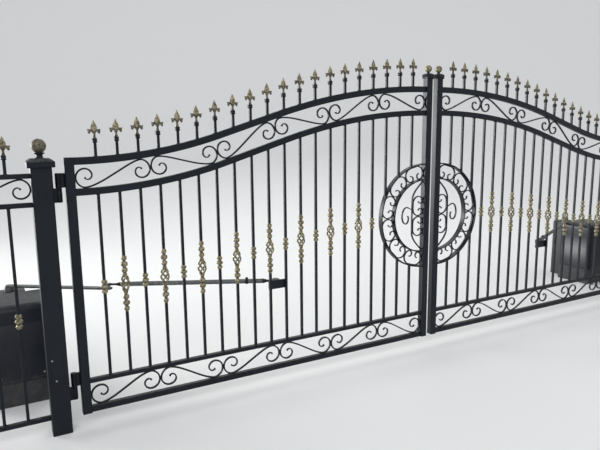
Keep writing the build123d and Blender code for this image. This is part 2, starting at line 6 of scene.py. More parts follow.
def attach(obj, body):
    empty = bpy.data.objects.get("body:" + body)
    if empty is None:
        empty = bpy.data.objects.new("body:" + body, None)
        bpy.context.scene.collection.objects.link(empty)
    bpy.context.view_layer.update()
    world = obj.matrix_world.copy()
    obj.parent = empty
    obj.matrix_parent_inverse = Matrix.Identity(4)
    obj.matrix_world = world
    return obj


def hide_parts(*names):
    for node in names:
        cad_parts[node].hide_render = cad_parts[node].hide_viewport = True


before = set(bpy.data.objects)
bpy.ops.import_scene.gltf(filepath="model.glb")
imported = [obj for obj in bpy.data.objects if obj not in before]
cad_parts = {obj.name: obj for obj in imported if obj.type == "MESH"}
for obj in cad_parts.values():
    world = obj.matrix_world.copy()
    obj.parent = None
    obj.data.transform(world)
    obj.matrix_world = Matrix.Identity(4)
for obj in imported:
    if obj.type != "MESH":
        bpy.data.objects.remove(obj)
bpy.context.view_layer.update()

# Sizes of the gate in metres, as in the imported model. X runs along the gate from the middle of the left
# gate post, Y into the drive and Z up. The right side is the left one turned over about CENTRE_X.

# Posts and their heads
HALF_POST = 0.051
POST_TOP = 1.482
CAP_FOOT = 1.470
CAP_SKIRT = 0.034
CAP_RISE = 0.012
CAP_HALF = 0.067
CAP_NECK = 0.042
POST_BALL_R = 0.037
POST_BALL_FOOT = CAP_FOOT + CAP_SKIRT + CAP_NECK
COVER_PLATE_XS, COVER_PLATE_ZS = (-0.036, 0.030), (0.285, 0.505)
PLATE_SCREWS = ((-0.026, 0.436), (-0.012, 0.319))
FIXED = "posts_and_fence"

# Leaf frame
PITCH = 0.1143
GAPS = 21
STILE = 0.050
HINGE_GAP = 0.062
MEETING_GAP = 0.046
INNER_X = HALF_POST + HINGE_GAP + STILE
RUN = GAPS * PITCH
MEETING_X = INNER_X + RUN
CENTRE_X = MEETING_X + STILE + MEETING_GAP / 2
CLEARANCE = 0.075
RAIL_DEPTH = 0.030
TOP_RAIL = 0.040
ARCH_RAIL = 0.038
ARCH_BAND = 0.127
BOTTOM_RAIL = 0.036
LOWER_BAND = 0.137
LOWER_RAIL = 0.025
ARCH_LOW = CLEARANCE + 1.441
CROWN_RISE = 0.428
HOLLOW_R = 2.750
CROWN_R = 4.000
STILE_TOP = CLEARANCE + 1.925
STILE_CAP = 0.030
STILE_NECK = 0.016
STILE_BALL_R = 0.025
STILE_BALL_FOOT = STILE_TOP + STILE_CAP + STILE_NECK
TUBE_EASE = 0.0035
RAIL_EASE = 0.0028

# Pickets, and what stands on and in them
PICKET = 0.016
PICKET_EASE = 0.0012
PICKET_FOOT = CLEARANCE + BOTTOM_RAIL + LOWER_BAND + LOWER_RAIL
PICKET_XS = [INNER_X + (k + 1) * PITCH for k in range(GAPS - 1)]
STUB = 0.072
COLLAR = 0.025
COLLAR_HALF = 0.0125
SPEAR = 0.095
BEAD = 0.028
BEAD_NECK_R = 0.0088
SHANK_R = 0.0090
KNUCKLE_BEADS = (0.0172, 0.0200, 0.0172)
TALL = 0.330
TALL_BEADS = (0.0175, 0.0200, 0.0160)
BASKET = 0.108
BASKET_RODS = 4
BASKET_ROD_R = 0.0056
BASKET_TURN_DEGREES = 200

# Scrolls of flat bar, and the rings on the meeting stile
SCROLL_BAR = 0.009
SMALL_BAR = 0.0075
SCROLL_DEPTH = 0.014
SCROLL_END = 0.62  # thickness at the ends, as a share of the bar
SCROLL_TAPER = 0.14  # share of the length over which it thins
SCROLLS_PER_LEAF = 6
CURL_POWER = 1.2
RING_Z = CLEARANCE + 0.935
RING_R = 0.385
INNER_R = 0.272
RING_BAR = 0.009
RING_DEPTH = 0.040
RING_EASE = 0.0014
RING_SCROLLS = 6
BOW_REACH = 0.097
BOW_SCROLL = 0.1498
BOW_SCROLL_RISE = 0.075

# Fence bay
FENCE_TOP = 1.440
FENCE_RAIL = 0.025
FENCE_BAND = 0.125
FENCE_FOOT = CLEARANCE + 0.030
FENCE_GAPS = 10
FENCE_SCROLLS = 3
FENCE_BEAD_Z = 0.665
FENCE_START = -HALF_POST - FENCE_GAPS * PITCH
FENCE_XS = [-HALF_POST - (k + 1) * PITCH for k in range(FENCE_GAPS - 1)]
END_POST_X = FENCE_START - HALF_POST

# Barrel hinges
HINGES = (CLEARANCE + 1.282, CLEARANCE + 0.166)
HINGE_X, HINGE_Y = HALF_POST + HINGE_GAP / 2, 0.017
HINGE_SLACK = 0.0002
BARREL_R, BARREL_HALF = 0.016, 0.078
STRAP = 0.012
STRAP_WELD_R = 0.0022

# The opener: pin on the leaf, shaft of the drive, and the crank's far end between them
ARM_Z = 0.668
ARM_X, ARM_Y = INNER_X + 10.5 * PITCH, 0.046
ARM_R = 0.015
EYE_R, EYE_HALF = 0.020, 0.005
TONGUE_HALF = 0.01125
PIN_GAP = 0.0008
EAR, EAR_GAP = 0.008, EYE_HALF + PIN_GAP
NUT, NUT_ACROSS = 0.0045, 0.017
PLATE_BACK = PICKET
PLATE_DROP, PLATE_HALF = 0.016, 0.029
TUBE_FROM = 0.084
CLAMP_AT = 0.178
DRIVE_X, DRIVE_Y = -0.181, 0.927
CRANK, CRANK_SLACK = 0.700, 0.006
CRANK_HALF, CRANK_END_R, CRANK_PIN_R = 0.006, 0.022, 0.009
SWEEP_GAP = 0.0055
CRANK_Z = ARM_Z - ARM_R - SWEEP_GAP - CRANK_HALF
HUB_R, HUB = 0.030, 0.030
HUB_FOOT = CRANK_Z - CRANK_HALF - HUB
HUB_GAP = 0.0005
SHAFT_TO_PIN = sqrt((ARM_X - DRIVE_X) ** 2 + (ARM_Y - DRIVE_Y) ** 2)
LINK = SHAFT_TO_PIN - CRANK + CRANK_SLACK
BEND = acos((CRANK**2 + SHAFT_TO_PIN**2 - LINK**2) / (2 * CRANK * SHAFT_TO_PIN))
CRANK_TURN = atan2(ARM_Y - DRIVE_Y, ARM_X - DRIVE_X) - BEND
ELBOW_X, ELBOW_Y = DRIVE_X + CRANK * cos(CRANK_TURN), DRIVE_Y + CRANK * sin(CRANK_TURN)
LINK_TURN = atan2(ELBOW_Y - ARM_Y, ELBOW_X - ARM_X)
COVER = ((-0.358, 0.042), (0.442, 0.822), (0.150, CRANK_Z - CRANK_HALF - SWEEP_GAP))
COVER_CORNER = 0.045

# The ogee: a hollow arc, a straight slope at THETA and the arc of the crown
ARC_SUM = HOLLOW_R + CROWN_R
STRAIGHT = sqrt(RUN**2 + CROWN_RISE**2 - 2 * ARC_SUM * CROWN_RISE)
THETA = asin((ARC_SUM * RUN - STRAIGHT * (ARC_SUM - CROWN_RISE)) / (ARC_SUM**2 + STRAIGHT**2))


def ogee_height(x, offset=0.0):
    """Height of the ogee at x from the hinge stile, offset below its top edge."""
    low, high = HOLLOW_R + offset, CROWN_R - offset
    start = ARCH_LOW - offset
    first, last = low * sin(THETA), RUN - high * sin(THETA)
    if x <= first:
        return start + low - sqrt(low**2 - x**2)
    if x >= last:
        return start + CROWN_RISE - high + sqrt(high**2 - (RUN - x) ** 2)
    return start + low * (1 - cos(THETA)) + (x - first) * sin(THETA) / cos(THETA)


def on_rail(x):
    """Top of the top rail at x."""
    return ogee_height(x - INNER_X)


def under_arch(x):
    """Underside of the arch rail at x."""
    return ogee_height(x - INNER_X, TOP_RAIL + ARCH_BAND + ARCH_RAIL)


def arch_band_point(along, across):
    """A point along the middle of the upper scroll band, moved across it upwards."""
    middle = TOP_RAIL + ARCH_BAND / 2
    low, high = HOLLOW_R + middle, CROWN_R - middle
    start = ARCH_LOW - middle
    if along <= low * THETA:
        a = along / low
        return INNER_X + (low - across) * sin(a), start + low - (low - across) * cos(a)
    knee_x, knee_z = low * sin(THETA), start + low * (1 - cos(THETA))
    if along <= low * THETA + STRAIGHT:
        s = along - low * THETA
        x = knee_x + s * cos(THETA) - across * sin(THETA)
        return INNER_X + x, knee_z + s * sin(THETA) + across * cos(THETA)
    a = THETA - (along - low * THETA - STRAIGHT) / high
    r = high + across
    return INNER_X + RUN - r * sin(a), start + CROWN_RISE - high + r * cos(a)


# Materials

class Shade:
    """A node socket that takes part in sums and products, so that shader maths reads as maths."""

    def __init__(self, tree, socket):
        self.tree, self.socket = tree, socket

    def _math(self, kind, a, b):
        node = self.tree.nodes.new("ShaderNodeMath")
        node.operation = kind
        for slot, value in zip(node.inputs, (a, b)):
            if isinstance(value, Shade):
                self.tree.links.new(value.socket, slot)
            else:
                slot.default_value = value
        return Shade(self.tree, node.outputs[0])

    def __add__(self, other):
        return self._math("ADD", self, other)

    __radd__ = __add__

    def __mul__(self, other):
        return self._math("MULTIPLY", self, other)

    __rmul__ = __mul__

    def __sub__(self, other):
        return self._math("SUBTRACT", self, other)

    def __rsub__(self, other):
        return self._math("SUBTRACT", other, self)

    def clamp(self):
        """The value held between 0 and 1."""
        return self._math("MINIMUM", self._math("MAXIMUM", self, 0.0), 1.0)


class Finish:
    """One material, its shader and the nodes that feed it.

    The plain values hold wherever nothing that varies over the surface is fed to their sockets.
    """

    def __init__(self, name, colour, roughness, metallic=0.0, specular=0.5):
        self.material = bpy.data.materials.new(name)
        self.material.use_nodes = True
        self.tree = self.material.node_tree
        self.shader = self.tree.nodes["Principled BSDF"]
        self.shader.inputs["Base Color"].default_value = (*colour, 1)
        self.shader.inputs["Roughness"].default_value = roughness
        self.shader.inputs["Metallic"].default_value = metallic
        self.shader.inputs["Specular IOR Level"].default_value = specular
        self.place = self.node("ShaderNodeTexCoord", {}, {}, "Object")

    def node(self, kind, settings, inputs, output=0):
        """Adds one node with its settings, and the values or links of its sockets."""
        node = self.tree.nodes.new(kind)
        for key, value in settings.items():
            setattr(node, key, value)
        for key, value in inputs.items():
            if isinstance(value, Shade):
                self.tree.links.new(value.socket, node.inputs[key])
            else:
                node.inputs[key].default_value = value
        return Shade(self.tree, node.outputs[output])

    def noise(self, scale, detail=4.0, roughness=0.55, stretch=None):
        """Cloudy noise; a stretch scales it along each direction."""
        place = self.place
        if stretch:
            place = self.node("ShaderNodeMapping", {}, {"Vector": place, "Scale": stretch})
        sockets = {"Vector": place, "Scale": scale, "Detail": detail, "Roughness": roughness}
        return self.node("ShaderNodeTexNoise", {}, sockets)

    def spangle(self, scale):
        """A grey of its own for each cell of a random pattern."""
        cells = self.node("ShaderNodeTexVoronoi", {}, {"Vector": self.place, "Scale": scale}, "Color")
        return self.node("ShaderNodeSeparateXYZ", {}, {0: cells}, "X")

    def band(self, value, low, high):
        """0 below low and 1 above high, smooth between."""
        sockets = {"Value": value, "From Min": low, "From Max": high}
        return self.node("ShaderNodeMapRange", {"interpolation_type": "SMOOTHSTEP"}, sockets)

    def upward(self):
        """How far the surface faces up, from -1 to 1."""
        normal = self.node("ShaderNodeNewGeometry", {}, {}, "Normal")
        return self.node("ShaderNodeSeparateXYZ", {}, {0: normal}, "Z")

    def mix(self, mask, a, b):
        """Colour a where the mask is 0, b where it is 1."""
        a, b = (value if isinstance(value, Shade) else (*value, 1) for value in (a, b))
        return self.node("ShaderNodeMix", {"data_type": "RGBA"}, {0: mask, 6: a, 7: b}, 2)

    def feed(self, name, value):
        """Lets a value that varies over the surface drive one of the shader's sockets."""
        self.tree.links.new(value.socket, self.shader.inputs[name])

    def bump(self, height, distance, strength):
        """Fine relief in the surface's normal."""
        sockets = {"Height": height, "Distance": distance, "Strength": strength}
        self.feed("Normal", self.node("ShaderNodeBump", {}, sockets, "Normal"))


def satin_black():
    """Sprayed satin paint on steel: faint orange peel, thin scuffs, a little dust on what faces up."""
    f = Finish("satin_black_paint", (0.008, 0.010, 0.014), 0.40, specular=0.24)
    cloud = f.noise(5.0, 5.0)
    fine = f.noise(260.0, 3.0)
    dust = f.band(f.upward(), 0.35, 1.0) * f.band(f.noise(38.0, 6.0), 0.36, 0.70)
    scuff = f.band(f.noise(46.0, 7.0, 0.7, stretch=(1, 1, 0.18)), 0.66, 0.74) * 0.5
    base = f.mix(f.band(cloud, 0.3, 0.7), (0.0022, 0.0042, 0.0086), (0.0046, 0.0076, 0.0132))
    base = f.mix(scuff, base, (0.050, 0.048, 0.046))
    f.feed("Base Color", f.mix(dust * 0.45, base, (0.15, 0.145, 0.13)))
    f.feed("Roughness", (0.33 + 0.12 * cloud + 0.3 * dust + 0.06 * fine).clamp())
    f.bump(fine * 0.7 + f.noise(90.0, 2.0) * 0.3, 0.0004, 0.25)
    return f.material


def old_gold(name, dark, light, shine):
    """Antique gold paint on cast iron: brown in patches, rubbed bright elsewhere, and painted shade on faces
    that point down.
    """
    f = Finish(name, light, 0.46, metallic=0.6)
    patch = f.band(f.noise(75.0, 6.0, 0.6), 0.36, 0.60)
    grain = f.noise(420.0, 4.0, 0.6)
    speck = f.band(f.noise(190.0, 3.0), 0.60, 0.70)
    # Painted shade: faces that point down take the dark colour and less metal.
    under = f.band(-1 * f.upward(), 0.1, 0.9)
    base = f.mix(patch, dark, light)
    base = f.mix(under * 0.55, base, dark)
    f.feed("Base Color", f.mix(speck * 0.55, base, (0.030, 0.026, 0.020)))
    f.feed("Metallic", (shine - 0.35 * speck - 0.2 * under).clamp())
    f.feed("Roughness", (0.38 + 0.2 * (1 - patch) + 0.1 * grain).clamp())
    f.bump(grain, 0.0006, 0.5)
    return f.material


def galvanised():
    """Hot-dip zinc on tube, dulled: soft spangle and streaks along the tube."""
    f = Finish("galvanised_tube", (0.12, 0.13, 0.13), 0.5, metallic=0.55)
    grey = f.spangle(70.0)
    streak = f.noise(9.0, 4.0, stretch=(1, 1, 8))
    stain = f.band(f.noise(30.0, 6.0, 0.65), 0.58, 0.72) * 0.5
    tone = f.band(grey * 0.6 + streak * 0.4, 0.2, 0.8)
    base = f.mix(tone, (0.085, 0.092, 0.092), (0.165, 0.175, 0.172))
    f.feed("Base Color", f.mix(stain, base, (0.12, 0.10, 0.075)))
    f.feed("Roughness", (0.40 + 0.16 * grey + 0.12 * streak + 0.2 * stain).clamp())
    f.bump(grey, 0.0003, 0.2)
    return f.material


def worn_steel():
    """Bare steel of pins, nuts and bolt heads, greased and a little rusty."""
    f = Finish("pin_steel", (0.30, 0.29, 0.28), 0.38, metallic=0.95)
    rust = f.band(f.noise(80.0, 6.0, 0.65), 0.54, 0.70)
    f.feed("Base Color", f.mix(rust, (0.36, 0.355, 0.35), (0.16, 0.075, 0.035)))
    f.feed("Metallic", (0.95 - 0.8 * rust).clamp())
    f.feed("Roughness", (0.32 + 0.4 * rust).clamp())
    f.bump(f.noise(300.0), 0.0003, 0.3)
    return f.material


def drive_coat(name, dark, light, roughness):
    """Moulded cover with a fine texture, dusty on top and splashed towards the ground."""
    f = Finish(name, dark, roughness, specular=0.32)
    cloud = f.noise(6.0, 5.0)
    height = f.node("ShaderNodeSeparateXYZ", {}, {0: f.place}, "Z")
    splash = (1 - f.band(height, 0.04, 0.30)) * f.band(f.noise(30.0, 7.0, 0.6), 0.44, 0.66)
    dust = f.band(f.upward(), 0.4, 1.0) * f.band(f.noise(24.0, 6.0), 0.34, 0.66)
    base = f.mix(f.band(cloud, 0.3, 0.7), dark, light)
    base = f.mix(splash * 0.30, base, (0.12, 0.105, 0.085))
    f.feed("Base Color", f.mix(dust * 0.22, base, (0.17, 0.165, 0.15)))
    f.feed("Roughness", (roughness - 0.05 + 0.1 * cloud + 0.25 * dust + 0.25 * splash).clamp())
    f.bump(f.noise(520.0, 2.0), 0.0003, 0.4)
    return f.material


BLACK = satin_black()
GOLD = old_gold("old_gold_on_cast_iron", (0.092, 0.078, 0.047), (0.32, 0.282, 0.178), 0.55)
# A darker copy of the gold finish, as painted shade: on the post balls, on the shanks in the necks between
# beads, and on the spear bands and arms.
SHADED_GOLD = old_gold("gold_darkened_as_painted_shade", (0.050, 0.046, 0.034), (0.145, 0.130, 0.090), 0.45)
ZINC = galvanised()
STEEL = worn_steel()
DRIVE_BODY = drive_coat("drive_cover_coat", (0.004, 0.006, 0.012), (0.008, 0.011, 0.018), 0.34)
DRIVE_CASE = drive_coat("drive_case_coat", (0.022, 0.023, 0.026), (0.034, 0.035, 0.038), 0.50)

# Mesh building

SHARP_FROM = radians(40)
ALONG_Y = Vector((0, 1, 0))


class Mesh:
    """Gathers the points and faces of one piece."""

    def __init__(self):
        self.points, self.faces = [], []

    def add(self, points, faces):
        """Adds points, and faces that number them from the first of the new ones."""
        base = len(self.points)
        self.points += [tuple(p) for p in points]
        self.faces += [tuple(base + i for i in f) for f in faces]

    def rings(self, rows):
        """A closed skin over rows of points, each row a closed loop."""
        n = len(rows[0])
        points = [p for row in rows for p in row]
        faces = []
        for i in range(len(rows) - 1):
            for j in range(n):
                k = (j + 1) % n
                faces.append((i * n + j, i * n + k, (i + 1) * n + k, (i + 1) * n + j))
        faces.append(tuple(range(n - 1, -1, -1)))
        faces.append(tuple((len(rows) - 1) * n + j for j in range(n)))
        self.add(points, faces)

    def lathe(self, centre, profile, sides=20):
        """A turned shape about a vertical line: profile is (radius, height) from the bottom up."""
        cx, cy, cz = centre
        rows = []
        for r, z in profile:
            rows.append([(cx + across, cy + out, cz + z) for across, out in oval(r, r, sides)])
        self.rings(rows)

    def hexagon(self, centre, across, height):
        """A nut or bolt head with eased corners, lying flat."""
        r = across / sqrt(3)
        self.lathe(centre, [(0.96 * r, 0.0), (r, 0.12 * height), (r, 0.85 * height), (0.88 * r, height)], 6)

    def head(self, x, y, z, radius, profile, sides=12, facing=1):
        """A head on a line along Y: profile is (share of the radius, height) from its foot at y."""
        rows = []
        for k, height in profile:
            loop = oval(k * radius, k * radius, sides)
            rows.append([(x - across, y + facing * height, z + facing * up) for across, up in loop])
        self.rings(rows)

    def box(self, low, high, bevel):
        """A bar between two corners, its twelve edges eased by bevel."""
        rows = []
        for z, inset in ((low[2], bevel), (low[2] + bevel, 0), (high[2] - bevel, 0), (high[2], bevel)):
            x0, x1, y0, y1 = low[0] + inset, high[0] - inset, low[1] + inset, high[1] - inset
            e = 0.2 * bevel if inset else bevel
            rows.append([(x0 + e, y0, z), (x1 - e, y0, z), (x1, y0 + e, z), (x1, y1 - e, z),
                         (x1 - e, y1, z), (x0 + e, y1, z), (x0, y1 - e, z), (x0, y0 + e, z)])
        self.rings(rows)

    def upright(self, x, low, high, wide, ease=PICKET_EASE):
        """An upright square bar about x; low and high are heights or give the height at each x."""
        rows = []
        for end in (low, high):
            rows.append([(x + a, o, end(x + a) if callable(end) else end)
                         for a, o in bar_section(wide, wide, ease)])
        self.rings(rows)

    def squares(self, x, levels, ease):
        """Square sections about x, one over another: levels are (half width, height)."""
        rows = []
        for half, z in levels:
            rows.append([(x + a, o, z) for a, o in bar_section(2 * half, 2 * half, ease)])
        self.rings(rows)

    def weld(self, x, z, up=1):
        """A thin bead of weld round a picket where it meets a rail."""
        rows = []
        for out, rise in ((0.0030, 0.0), (0.0022, 0.0022), (0.0, 0.0034)):
            half = PICKET / 2 + out
            rows.append([(x + a, o, (z(x + a) if callable(z) else z) + up * rise)
                         for a, o in bar_section(2 * half, 2 * half, 0.4 * half)])
        self.rings(rows if up > 0 else rows[::-1])

    def sweep(self, path, section, outward=None, scale=None):
        """A section of (across, out) points carried along a path.

        Without outward directions, out is along Y and the scale changes only what lies across.
        """
        rows = []
        last = len(path) - 1
        for i, p in enumerate(path):
            way = (Vector(path[min(i + 1, last)]) - Vector(path[max(i - 1, 0)])).normalized()
            across = (outward[i] if outward else ALONG_Y).cross(way).normalized()
            out = way.cross(across).normalized()
            k = scale[i] if scale else 1.0
            deep = k if outward else 1.0
            rows.append([tuple(Vector(p) + across * (a * k) + out * (o * deep)) for a, o in section])
        self.rings(rows)

    def place(self, other, x, y, turn):
        """Adds another mesh, turned about the vertical and moved to x and y."""
        c, n = cos(turn), sin(turn)
        self.add([(x + px * c - py * n, y + px * n + py * c, pz) for px, py, pz in other.points], other.faces)

    def make(self, name, material, body, nodes=(), turned=False):
        """Makes the piece. It rides on a body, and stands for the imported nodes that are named."""
        points, faces = self.points, self.faces
        if turned:
            points = [(2 * CENTRE_X - x, y, z) for x, y, z in points]
            faces = [tuple(reversed(f)) for f in faces]
        data = bpy.data.meshes.new(name)
        data.from_pydata(points, [], faces)
        data.update()
        for polygon in data.polygons:
            polygon.use_smooth = True
        data.set_sharp_from_angle(angle=SHARP_FROM)
        data.materials.append(material)
        piece = bpy.data.objects.new(name, data)
        bpy.context.scene.collection.objects.link(piece)
        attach(piece, body)
        if nodes:
            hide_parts(*nodes)
        for node in nodes:
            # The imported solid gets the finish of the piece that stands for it
            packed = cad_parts[node].data.materials
            packed.clear()
            packed.append(material)


def oval(across, out, sides=8):
    """An oval section; a circle where both radii are the same."""
    turns = [2 * pi * j / sides for j in range(sides)]
    return [(across * cos(a), out * sin(a)) for a in turns]


def bar_section(wide, deep, ease):
    """A flat bar's section with eased corners."""
    w, d = wide / 2, deep / 2
    half = [(-w, ease - d), (ease - w, -d), (w - ease, -d), (w, ease - d)]
    return half + [(-a, -o) for a, o in half]


def turned_over(profile):
    """A turned profile upside down."""
    return [(r, -h) for r, h in reversed(profile)]


# Scrolls

def curl(radius, start, sweep, steps, tightness):
    """A spiral about the origin, clockwise from the start angle, that tightens as it goes."""
    points = []
    for i in range(steps + 1):
        share = i / steps
        a = radians(start - sweep * share)
        r = radius * (1 - tightness * share**CURL_POWER)
        points.append((r * cos(a), r * sin(a)))
    return points


def fitted(right, left, width, height):
    """Two halves of a scroll as one line, stretched to the width and height it has to fill."""
    wide = max(x for x, _ in right)
    high = max(max(z for _, z in right), -min(z for _, z in right))
    return [(x * width / 2 / wide, z * height / 2 / high) for x, z in left[::-1] + right]


def eased_in(loop, skip, share):
    """A loop reached from the origin by a line that bends into it over its first few points."""
    (ax, az), (bx, bz) = loop[0], loop[skip]
    dx, dz = loop[skip + 1][0] - loop[skip - 1][0], loop[skip + 1][1] - loop[skip - 1][1]
    along = (bx * dz - bz * dx) / (ax * dz - az * dx)
    knee = Vector((ax * along, az * along))
    first, last = Vector((ax * share, az * share)), Vector((bx, bz))
    steps = [i / 16 for i in range(16)]
    bend = [first * (1 - t) ** 2 + knee * 2 * t * (1 - t) + last * t * t for t in steps]
    return [tuple(point) for point in bend] + loop[skip:]


def s_line(width, height):
    """Centre line of an S scroll that fills a width and a height."""
    stretch = 1.04
    radius = (height - SCROLL_BAR) / 2
    reach = (width - SCROLL_BAR) / 2 / stretch - radius
    start = 180 - degrees(acos(radius / reach))
    loop = [((reach + x) * stretch, z) for x, z in curl(radius, start, 415, 44, 0.83)]
    right = eased_in(loop, 5, 0.36)
    return fitted(right, [(-x, -z) for x, z in right], width - SCROLL_BAR, height - SCROLL_BAR)


def c_line(width, height, sweep):
    """Centre line of a C scroll that opens downwards, its curls drifting outwards as they wind in."""
    steps = 30
    unit = curl(1.0, 90, sweep, steps, 0.82)
    unit = [(x + 0.26 * (i / steps) ** 2, z) for i, (x, z) in enumerate(unit)]
    top, low = max(z for _, z in unit), min(z for _, z in unit)
    radius = (height - SMALL_BAR) / (top - low)
    reach = (width - SMALL_BAR) / 2 - radius * max(x for x, _ in unit)
    right = [(reach + radius * x, radius * (z - (top + low) / 2)) for x, z in unit]
    return fitted(right, [(-x, z) for x, z in right], width - SMALL_BAR, height - SMALL_BAR)


def smooth_line(points, steps):
    """A smooth line through points, with that many steps from one to the next."""
    out = []
    for i in range(len(points) - 1):
        p0, p1 = points[max(i - 1, 0)], points[i]
        p2, p3 = points[i + 1], points[min(i + 2, len(points) - 1)]
        for j in range(steps):
            t = j / steps
            out.append(tuple(0.5 * (2 * b + (c - a) * t + (2 * a - 5 * b + 4 * c - d) * t * t
                                    + (3 * b - a - 3 * c + d) * t**3) for a, b, c, d in zip(p0, p1, p2, p3)))
    out.append(points[-1])
    return out


def scroll(mesh, points, bar):
    """A scroll of flat bar in the gate's plane, drawn thinner to a rolled eye at each end."""
    last = len(points) - 1
    scale = []
    for i in range(last + 1):
        from_end = min(i, last - i) / last
        scale.append(SCROLL_END + (1 - SCROLL_END) * min(from_end / SCROLL_TAPER, 1.0))
    mesh.sweep([(x, 0.0, z) for x, z in points], bar_section(bar, SCROLL_DEPTH, 0.0016), scale=scale)
    half = SCROLL_DEPTH / 2
    eye = [(0.8, 0.0006 - half), (1.0, 0.0016 - half), (1.0, half - 0.0016), (0.8, half - 0.0006)]
    for x, z in (points[0], points[-1]):
        mesh.head(x, 0.0, z, bar * SCROLL_END, eye)


def row_of_scrolls(mesh, count, length, height, point):
    """S scrolls mirrored in turn along a band; point gives the place at a distance along and across."""
    width = length / count
    line = s_line(width, height)
    for i in range(count):
        turn = 1 if i % 2 == 0 else -1
        middle = (i + 0.5) * width
        scroll(mesh, [point(middle + turn * x, z) for x, z in line], SCROLL_BAR)


def arch_scrolls(mesh):
    """The S scrolls between the top rail and the arch rail, bent along the ogee."""
    row_of_scrolls(mesh, SCROLLS_PER_LEAF, ARC_SUM * THETA + STRAIGHT, ARCH_BAND, arch_band_point)


def bottom_scrolls(mesh):
    """The S scrolls between the two bottom rails."""
    middle = CLEARANCE + BOTTOM_RAIL + LOWER_BAND / 2
    row_of_scrolls(mesh, SCROLLS_PER_LEAF, RUN, LOWER_BAND, lambda a, c: (INNER_X + a, middle + c))


def fence_scrolls(mesh):
    """The S scrolls between the two upper rails of the fence bay."""
    middle = FENCE_TOP - FENCE_RAIL - FENCE_BAND / 2
    row_of_scrolls(mesh, FENCE_SCROLLS, FENCE_GAPS * PITCH, FENCE_BAND,
                   lambda a, c: (FENCE_START + a, middle + c))


# Rings on the meeting stile

def half_rings(mesh):
    """Two flat bars bent to half circles, their ends on the meeting stile."""
    steps = 72
    turns = [pi * (i / steps - 0.5) for i in range(steps + 1)]
    for radius in (RING_R, INNER_R):
        r = radius - RING_BAR / 2
        path = [(MEETING_X - r * cos(a), 0.0, RING_Z + r * sin(a)) for a in turns]
        mesh.sweep(path, bar_section(RING_BAR, RING_DEPTH, RING_EASE))


def ring_scrolls(mesh):
    """C scrolls bent round between the two rings, opening inwards."""
    outer = RING_R - RING_BAR
    middle = (INNER_R + outer) / 2
    span = pi / RING_SCROLLS
    line = c_line(middle * span - 0.0004, outer - INNER_R, 300)
    for i in range(RING_SCROLLS):
        around = pi / 2 - (i + 0.5) * span
        points = []
        for x, z in line:
            a = around + x / middle
            points.append((MEETING_X - (middle + z) * cos(a), RING_Z + (middle + z) * sin(a)))
        scroll(mesh, points, SMALL_BAR)


def bow_scrolls(mesh):
    """The bow inside the inner ring, a C scroll in each half of it and the open curl beside it."""
    upper = [(0.003, 0.256), (0.0340, 0.226), (0.0690, 0.188), (0.0905, 0.150), (BOW_REACH, 0.106)]
    line = smooth_line(upper + [(o, -u) for o, u in reversed(upper)], 8)
    mesh.sweep([(MEETING_X - o, 0.0, RING_Z + u) for o, u in line],
               bar_section(SMALL_BAR, SCROLL_DEPTH, RING_EASE))
    height = BOW_REACH - SMALL_BAR / 2
    line = c_line(BOW_SCROLL, height, 290)
    for end in (-1, 1):
        middle = RING_Z + end * BOW_SCROLL_RISE
        scroll(mesh, [(MEETING_X - (height / 2 + z), middle + x) for x, z in line], SMALL_BAR)
    points = [(0.101, 0.052)]
    for i in range(12):
        share = i / 11
        a = radians(118 - 310 * share)
        k = 1 - 0.72 * share**2
        points.append((0.148 + 0.045 * k * cos(a), 0.072 * k * sin(a)))
    line = smooth_line(points, 5)
    scroll(mesh, [(MEETING_X - o, RING_Z + u) for o, u in line], SMALL_BAR)


def ring_high(x):
    """Top of the outer ring at x, or the height of its middle beside it."""
    away = MEETING_X - x
    return RING_Z + (sqrt(RING_R**2 - away**2) if away < RING_R else 0.0)


def ring_low(x):
    """Underside of the outer ring at x, or the height of its middle beside it."""
    return 2 * RING_Z - ring_high(x)


def meets_ring(x):
    """Whether the picket at x runs into the outer ring."""
    return MEETING_X - x - PICKET / 2 < RING_R


# Cast ornaments

def beads(gold, dark, x, z, radii, pitch=BEAD):
    """Rounded cast beads from z upwards, a shank in the darker copy of the gold showing in the necks between
    them as painted shade.
    """
    dark.lathe((x, 0, z), [(SHANK_R, 0.0), (SHANK_R, pitch * len(radii))], 14)
    for k, radius in enumerate(radii):
        profile = []
        for i in range(1, 14):
            a = pi * i / 14
            profile.append((max(BEAD_NECK_R, radius * sin(a) ** 0.7), pitch * (0.5 - 0.45 * cos(a))))
        gold.lathe((x, 0, z + k * pitch), profile)


def knuckle(gold, dark, x, z):
    """Three beads about z, the middle one the fullest."""
    beads(gold, dark, x, z - 1.5 * BEAD, KNUCKLE_BEADS)


def tall_ornament(gold, dark, x, z):
    """A twisted basket between two shanks with three beads each."""
    steps = 18
    for k in range(BASKET_RODS):
        path, outward = [], []
        for i in range(steps + 1):
            share = i / steps
            r = 0.0045 + 0.0183 * sin(pi * share) ** 0.55
            a = radians(360 / BASKET_RODS * k + BASKET_TURN_DEGREES * (share - 0.5))
            path.append((x + r * cos(a), r * sin(a), z + (BASKET - 0.020) * (share - 0.5)))
            outward.append(Vector((cos(a), sin(a), 0)))
        gold.sweep(path, oval(BASKET_ROD_R, BASKET_ROD_R), outward)
    half = BASKET / 2
    shank = TALL / 2 - half
    pitch = 0.94 * shank / len(TALL_BEADS)
    free = 0.06 * shank
    neck = [(0.0125, 0), (0.0125, 0.0015), (0.0100, 0.0035), (0.0100, free)]
    gold.lathe((x, 0, z + half), neck, 18)
    gold.lathe((x, 0, z - half), turned_over(neck), 18)
    beads(gold, dark, x, z + half + free, TALL_BEADS, pitch)
    beads(gold, dark, x, z - TALL / 2, TALL_BEADS[::-1], pitch)
    ball = [(0.008, -0.007), (0.0125, -0.005), (0.0140, 0), (0.0125, 0.005), (0.008, 0.007)]
    for end in (-1, 1):
        gold.lathe((x, 0, z + end * (half - 0.006)), ball)


